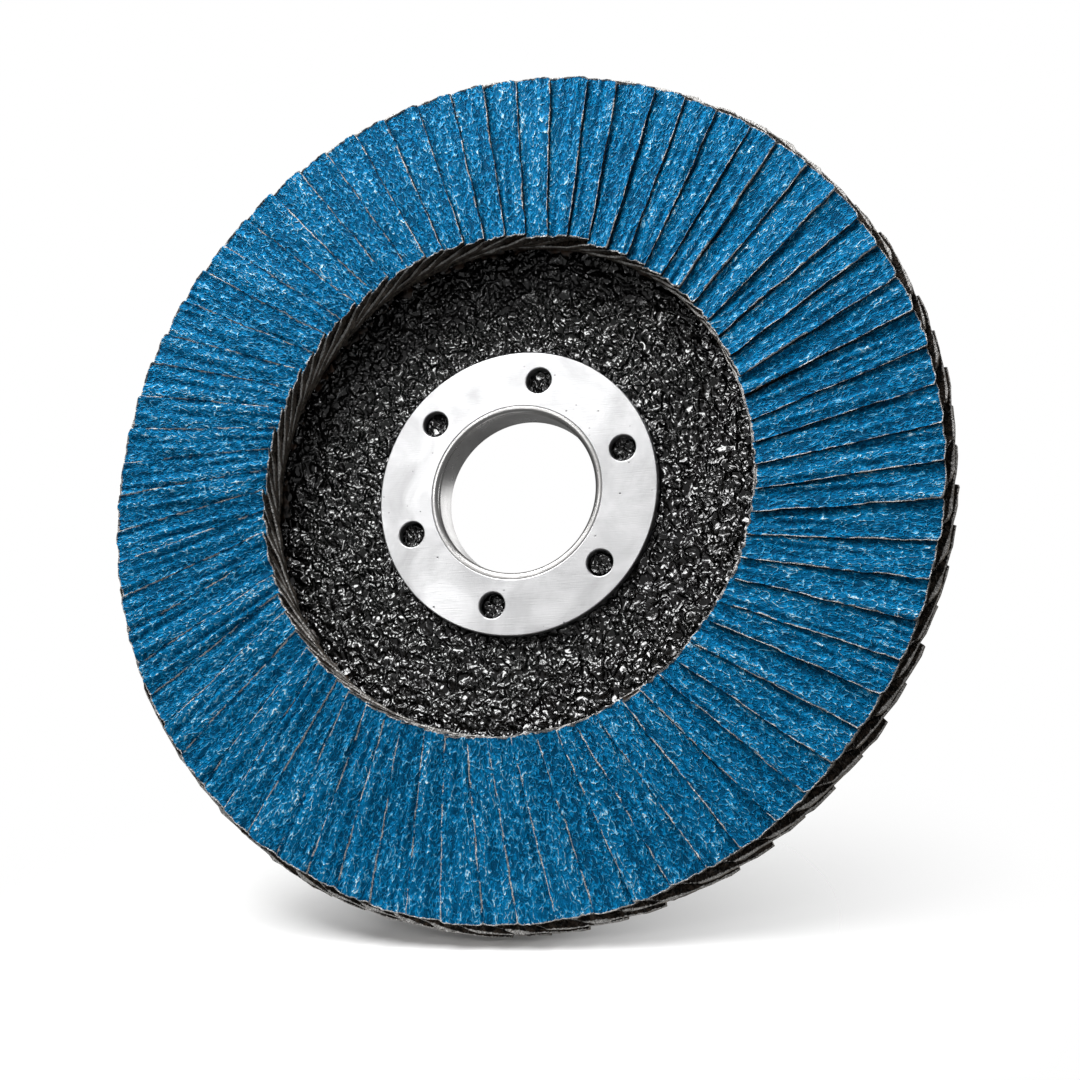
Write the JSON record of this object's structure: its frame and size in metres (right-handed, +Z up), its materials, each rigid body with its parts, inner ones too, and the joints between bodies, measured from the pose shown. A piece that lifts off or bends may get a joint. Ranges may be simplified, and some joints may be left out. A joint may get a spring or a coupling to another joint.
{
  "type": "abrasive flap disc",
  "caption": "Round grinder disc with fanned abrasive cloth flaps on a shallow dished backing plate, a holed front washer and a collared arbor bore.",
  "frame": {"origin": "centre of the arbor bore at the rear clamping face", "axes": "+Y along the bore axis towards the grinder, -Y out of the abrasive face, +Z up with the disc standing on its rim, +X to the right seen from the abrasive face"},
  "size_m": [0.1166, 0.0128, 0.1166],
  "materials": {
    "abrasive_cloth": "coarse blue grain coat on brown resin-filled cloth",
    "resin_front": "gloss black resin over coarse grain",
    "glass_core": "resin-filled glass mesh",
    "resin_rear": "black resin with a woven glass mesh showing",
    "paper": "blank coated paper",
    "adhesive": "dark brown cured resin",
    "washer_metal": "satin, with faint smudges",
    "arbor_metal": "satin drawn sheet"
  },
  "bodies": {
    "disc": {"front_ply": "resin_front", "core_ply": "glass_core", "rear_ply": "resin_rear", "rear_label": "paper", "adhesive_bed": "adhesive", "front_washer": "washer_metal", "arbor_bushing": "arbor_metal"},
    "flaps_01": {"flap_pair_01": "abrasive_cloth"},
    "flaps_02": {"flap_pair_02": "abrasive_cloth"},
    "flaps_03": {"flap_pair_03": "abrasive_cloth"},
    "flaps_04": {"flap_pair_04": "abrasive_cloth"},
    "flaps_05": {"flap_pair_05": "abrasive_cloth"},
    "flaps_06": {"flap_pair_06": "abrasive_cloth"},
    "flaps_07": {"flap_pair_07": "abrasive_cloth"},
    "flaps_08": {"flap_pair_08": "abrasive_cloth"},
    "flaps_09": {"flap_pair_09": "abrasive_cloth"},
    "flaps_10": {"flap_pair_10": "abrasive_cloth"},
    "flaps_11": {"flap_pair_11": "abrasive_cloth"},
    "flaps_12": {"flap_pair_12": "abrasive_cloth"},
    "flaps_13": {"flap_pair_13": "abrasive_cloth"},
    "flaps_14": {"flap_pair_14": "abrasive_cloth"},
    "flaps_15": {"flap_pair_15": "abrasive_cloth"},
    "flaps_16": {"flap_pair_16": "abrasive_cloth"},
    "flaps_17": {"flap_pair_17": "abrasive_cloth"},
    "flaps_18": {"flap_pair_18": "abrasive_cloth"},
    "flaps_19": {"flap_pair_19": "abrasive_cloth"},
    "flaps_20": {"flap_pair_20": "abrasive_cloth"},
    "flaps_21": {"flap_pair_21": "abrasive_cloth"},
    "flaps_22": {"flap_pair_22": "abrasive_cloth"},
    "flaps_23": {"flap_pair_23": "abrasive_cloth"},
    "flaps_24": {"flap_pair_24": "abrasive_cloth"},
    "flaps_25": {"flap_pair_25": "abrasive_cloth"},
    "flaps_26": {"flap_pair_26": "abrasive_cloth"},
    "flaps_27": {"flap_pair_27": "abrasive_cloth"},
    "flaps_28": {"flap_pair_28": "abrasive_cloth"},
    "flaps_29": {"flap_pair_29": "abrasive_cloth"},
    "flaps_30": {"flap_pair_30": "abrasive_cloth"},
    "flaps_31": {"flap_pair_31": "abrasive_cloth"},
    "flaps_32": {"flap_pair_32": "abrasive_cloth"},
    "flaps_33": {"flap_pair_33": "abrasive_cloth"},
    "flaps_34": {"flap_pair_34": "abrasive_cloth"},
    "flaps_35": {"flap_pair_35": "abrasive_cloth"},
    "flaps_36": {"flap_pair_36": "abrasive_cloth"}
  },
  "joints": [
    {"name": "flap_lift_01", "type": "hinge", "parent": "disc", "child": "flaps_01", "pos_m": [0.0429, -0.00633, 0.01868], "axis": [-0.9834, 0.0834, -0.161], "range_deg": [0, 6], "stiffness_Nm_per_rad": 0.05},
    {"name": "flap_lift_02", "type": "hinge", "parent": "disc", "child": "flaps_02", "pos_m": [0.039, -0.00633, 0.02584], "axis": [-0.9405, 0.0834, -0.3294], "range_deg": [0, 6], "stiffness_Nm_per_rad": 0.05},
    {"name": "flap_lift_03", "type": "hinge", "parent": "disc", "child": "flaps_03", "pos_m": [0.03392, -0.00633, 0.03222], "axis": [-0.869, 0.0834, -0.4877], "range_deg": [0, 6], "stiffness_Nm_per_rad": 0.05},
    {"name": "flap_lift_04", "type": "hinge", "parent": "disc", "child": "flaps_04", "pos_m": [0.02781, -0.00633, 0.03763], "axis": [-0.7711, 0.0834, -0.6312], "range_deg": [0, 6], "stiffness_Nm_per_rad": 0.05},
    {"name": "flap_lift_05", "type": "hinge", "parent": "disc", "child": "flaps_05", "pos_m": [0.02086, -0.00633, 0.04188], "axis": [-0.6498, 0.0834, -0.7555], "range_deg": [0, 6], "stiffness_Nm_per_rad": 0.05},
    {"name": "flap_lift_06", "type": "hinge", "parent": "disc", "child": "flaps_06", "pos_m": [0.01327, -0.00633, 0.04487], "axis": [-0.5088, 0.0834, -0.8569], "range_deg": [0, 6], "stiffness_Nm_per_rad": 0.05},
    {"name": "flap_lift_07", "type": "hinge", "parent": "disc", "child": "flaps_07", "pos_m": [0.00527, -0.00633, 0.04649], "axis": [-0.3522, 0.0834, -0.9322], "range_deg": [0, 6], "stiffness_Nm_per_rad": 0.05},
    {"name": "flap_lift_08", "type": "hinge", "parent": "disc", "child": "flaps_08", "pos_m": [-0.00288, -0.00633, 0.0467], "axis": [-0.185, 0.0834, -0.9792], "range_deg": [0, 6], "stiffness_Nm_per_rad": 0.05},
    {"name": "flap_lift_09", "type": "hinge", "parent": "disc", "child": "flaps_09", "pos_m": [-0.01094, -0.00633, 0.04549], "axis": [-0.0122, 0.0834, -0.9964], "range_deg": [0, 6], "stiffness_Nm_per_rad": 0.05},
    {"name": "flap_lift_10", "type": "hinge", "parent": "disc", "child": "flaps_10", "pos_m": [-0.01868, -0.00633, 0.0429], "axis": [0.161, 0.0834, -0.9834], "range_deg": [0, 6], "stiffness_Nm_per_rad": 0.05},
    {"name": "flap_lift_11", "type": "hinge", "parent": "disc", "child": "flaps_11", "pos_m": [-0.02584, -0.00633, 0.039], "axis": [0.3294, 0.0834, -0.9405], "range_deg": [0, 6], "stiffness_Nm_per_rad": 0.05},
    {"name": "flap_lift_12", "type": "hinge", "parent": "disc", "child": "flaps_12", "pos_m": [-0.03222, -0.00633, 0.03392], "axis": [0.4877, 0.0834, -0.869], "range_deg": [0, 6], "stiffness_Nm_per_rad": 0.05},
    {"name": "flap_lift_13", "type": "hinge", "parent": "disc", "child": "flaps_13", "pos_m": [-0.03763, -0.00633, 0.02781], "axis": [0.6312, 0.0834, -0.7711], "range_deg": [0, 6], "stiffness_Nm_per_rad": 0.05},
    {"name": "flap_lift_14", "type": "hinge", "parent": "disc", "child": "flaps_14", "pos_m": [-0.04188, -0.00633, 0.02086], "axis": [0.7555, 0.0834, -0.6498], "range_deg": [0, 6], "stiffness_Nm_per_rad": 0.05},
    {"name": "flap_lift_15", "type": "hinge", "parent": "disc", "child": "flaps_15", "pos_m": [-0.04487, -0.00633, 0.01327], "axis": [0.8569, 0.0834, -0.5088], "range_deg": [0, 6], "stiffness_Nm_per_rad": 0.05},
    {"name": "flap_lift_16", "type": "hinge", "parent": "disc", "child": "flaps_16", "pos_m": [-0.04649, -0.00633, 0.00527], "axis": [0.9322, 0.0834, -0.3522], "range_deg": [0, 6], "stiffness_Nm_per_rad": 0.05},
    {"name": "flap_lift_17", "type": "hinge", "parent": "disc", "child": "flaps_17", "pos_m": [-0.0467, -0.00633, -0.00288], "axis": [0.9792, 0.0834, -0.185], "range_deg": [0, 6], "stiffness_Nm_per_rad": 0.05},
    {"name": "flap_lift_18", "type": "hinge", "parent": "disc", "child": "flaps_18", "pos_m": [-0.04549, -0.00633, -0.01094], "axis": [0.9964, 0.0834, -0.0122], "range_deg": [0, 6], "stiffness_Nm_per_rad": 0.05},
    {"name": "flap_lift_19", "type": "hinge", "parent": "disc", "child": "flaps_19", "pos_m": [-0.0429, -0.00633, -0.01868], "axis": [0.9834, 0.0834, 0.161], "range_deg": [0, 6], "stiffness_Nm_per_rad": 0.05},
    {"name": "flap_lift_20", "type": "hinge", "parent": "disc", "child": "flaps_20", "pos_m": [-0.039, -0.00633, -0.02584], "axis": [0.9405, 0.0834, 0.3294], "range_deg": [0, 6], "stiffness_Nm_per_rad": 0.05},
    {"name": "flap_lift_21", "type": "hinge", "parent": "disc", "child": "flaps_21", "pos_m": [-0.03392, -0.00633, -0.03222], "axis": [0.869, 0.0834, 0.4877], "range_deg": [0, 6], "stiffness_Nm_per_rad": 0.05},
    {"name": "flap_lift_22", "type": "hinge", "parent": "disc", "child": "flaps_22", "pos_m": [-0.02781, -0.00633, -0.03763], "axis": [0.7711, 0.0834, 0.6312], "range_deg": [0, 6], "stiffness_Nm_per_rad": 0.05},
    {"name": "flap_lift_23", "type": "hinge", "parent": "disc", "child": "flaps_23", "pos_m": [-0.02086, -0.00633, -0.04188], "axis": [0.6498, 0.0834, 0.7555], "range_deg": [0, 6], "stiffness_Nm_per_rad": 0.05},
    {"name": "flap_lift_24", "type": "hinge", "parent": "disc", "child": "flaps_24", "pos_m": [-0.01327, -0.00633, -0.04487], "axis": [0.5088, 0.0834, 0.8569], "range_deg": [0, 6], "stiffness_Nm_per_rad": 0.05},
    {"name": "flap_lift_25", "type": "hinge", "parent": "disc", "child": "flaps_25", "pos_m": [-0.00527, -0.00633, -0.04649], "axis": [0.3522, 0.0834, 0.9322], "range_deg": [0, 6], "stiffness_Nm_per_rad": 0.05},
    {"name": "flap_lift_26", "type": "hinge", "parent": "disc", "child": "flaps_26", "pos_m": [0.00288, -0.00633, -0.0467], "axis": [0.185, 0.0834, 0.9792], "range_deg": [0, 6], "stiffness_Nm_per_rad": 0.05},
    {"name": "flap_lift_27", "type": "hinge", "parent": "disc", "child": "flaps_27", "pos_m": [0.01094, -0.00633, -0.04549], "axis": [0.0122, 0.0834, 0.9964], "range_deg": [0, 6], "stiffness_Nm_per_rad": 0.05},
    {"name": "flap_lift_28", "type": "hinge", "parent": "disc", "child": "flaps_28", "pos_m": [0.01868, -0.00633, -0.0429], "axis": [-0.161, 0.0834, 0.9834], "range_deg": [0, 6], "stiffness_Nm_per_rad": 0.05},
    {"name": "flap_lift_29", "type": "hinge", "parent": "disc", "child": "flaps_29", "pos_m": [0.02584, -0.00633, -0.039], "axis": [-0.3294, 0.0834, 0.9405], "range_deg": [0, 6], "stiffness_Nm_per_rad": 0.05},
    {"name": "flap_lift_30", "type": "hinge", "parent": "disc", "child": "flaps_30", "pos_m": [0.03222, -0.00633, -0.03392], "axis": [-0.4877, 0.0834, 0.869], "range_deg": [0, 6], "stiffness_Nm_per_rad": 0.05},
    {"name": "flap_lift_31", "type": "hinge", "parent": "disc", "child": "flaps_31", "pos_m": [0.03763, -0.00633, -0.02781], "axis": [-0.6312, 0.0834, 0.7711], "range_deg": [0, 6], "stiffness_Nm_per_rad": 0.05},
    {"name": "flap_lift_32", "type": "hinge", "parent": "disc", "child": "flaps_32", "pos_m": [0.04188, -0.00633, -0.02086], "axis": [-0.7555, 0.0834, 0.6498], "range_deg": [0, 6], "stiffness_Nm_per_rad": 0.05},
    {"name": "flap_lift_33", "type": "hinge", "parent": "disc", "child": "flaps_33", "pos_m": [0.04487, -0.00633, -0.01327], "axis": [-0.8569, 0.0834, 0.5088], "range_deg": [0, 6], "stiffness_Nm_per_rad": 0.05},
    {"name": "flap_lift_34", "type": "hinge", "parent": "disc", "child": "flaps_34", "pos_m": [0.04649, -0.00633, -0.00527], "axis": [-0.9322, 0.0834, 0.3522], "range_deg": [0, 6], "stiffness_Nm_per_rad": 0.05},
    {"name": "flap_lift_35", "type": "hinge", "parent": "disc", "child": "flaps_35", "pos_m": [0.0467, -0.00633, 0.00288], "axis": [-0.9792, 0.0834, 0.185], "range_deg": [0, 6], "stiffness_Nm_per_rad": 0.05},
    {"name": "flap_lift_36", "type": "hinge", "parent": "disc", "child": "flaps_36", "pos_m": [0.04549, -0.00633, 0.01094], "axis": [-0.9964, 0.0834, 0.0122], "range_deg": [0, 6], "stiffness_Nm_per_rad": 0.05}
  ],
  "couplings": [
    {"joint": "flap_lift_02", "follows": "flap_lift_01", "ratio": 1},
    {"joint": "flap_lift_03", "follows": "flap_lift_01", "ratio": 1},
    {"joint": "flap_lift_04", "follows": "flap_lift_01", "ratio": 1},
    {"joint": "flap_lift_05", "follows": "flap_lift_01", "ratio": 1},
    {"joint": "flap_lift_06", "follows": "flap_lift_01", "ratio": 1},
    {"joint": "flap_lift_07", "follows": "flap_lift_01", "ratio": 1},
    {"joint": "flap_lift_08", "follows": "flap_lift_01", "ratio": 1},
    {"joint": "flap_lift_09", "follows": "flap_lift_01", "ratio": 1},
    {"joint": "flap_lift_10", "follows": "flap_lift_01", "ratio": 1},
    {"joint": "flap_lift_11", "follows": "flap_lift_01", "ratio": 1},
    {"joint": "flap_lift_12", "follows": "flap_lift_01", "ratio": 1},
    {"joint": "flap_lift_13", "follows": "flap_lift_01", "ratio": 1},
    {"joint": "flap_lift_14", "follows": "flap_lift_01", "ratio": 1},
    {"joint": "flap_lift_15", "follows": "flap_lift_01", "ratio": 1},
    {"joint": "flap_lift_16", "follows": "flap_lift_01", "ratio": 1},
    {"joint": "flap_lift_17", "follows": "flap_lift_01", "ratio": 1},
    {"joint": "flap_lift_18", "follows": "flap_lift_01", "ratio": 1},
    {"joint": "flap_lift_19", "follows": "flap_lift_01", "ratio": 1},
    {"joint": "flap_lift_20", "follows": "flap_lift_01", "ratio": 1},
    {"joint": "flap_lift_21", "follows": "flap_lift_01", "ratio": 1},
    {"joint": "flap_lift_22", "follows": "flap_lift_01", "ratio": 1},
    {"joint": "flap_lift_23", "follows": "flap_lift_01", "ratio": 1},
    {"joint": "flap_lift_24", "follows": "flap_lift_01", "ratio": 1},
    {"joint": "flap_lift_25", "follows": "flap_lift_01", "ratio": 1},
    {"joint": "flap_lift_26", "follows": "flap_lift_01", "ratio": 1},
    {"joint": "flap_lift_27", "follows": "flap_lift_01", "ratio": 1},
    {"joint": "flap_lift_28", "follows": "flap_lift_01", "ratio": 1},
    {"joint": "flap_lift_29", "follows": "flap_lift_01", "ratio": 1},
    {"joint": "flap_lift_30", "follows": "flap_lift_01", "ratio": 1},
    {"joint": "flap_lift_31", "follows": "flap_lift_01", "ratio": 1},
    {"joint": "flap_lift_32", "follows": "flap_lift_01", "ratio": 1},
    {"joint": "flap_lift_33", "follows": "flap_lift_01", "ratio": 1},
    {"joint": "flap_lift_34", "follows": "flap_lift_01", "ratio": 1},
    {"joint": "flap_lift_35", "follows": "flap_lift_01", "ratio": 1},
    {"joint": "flap_lift_36", "follows": "flap_lift_01", "ratio": 1}
  ]
}
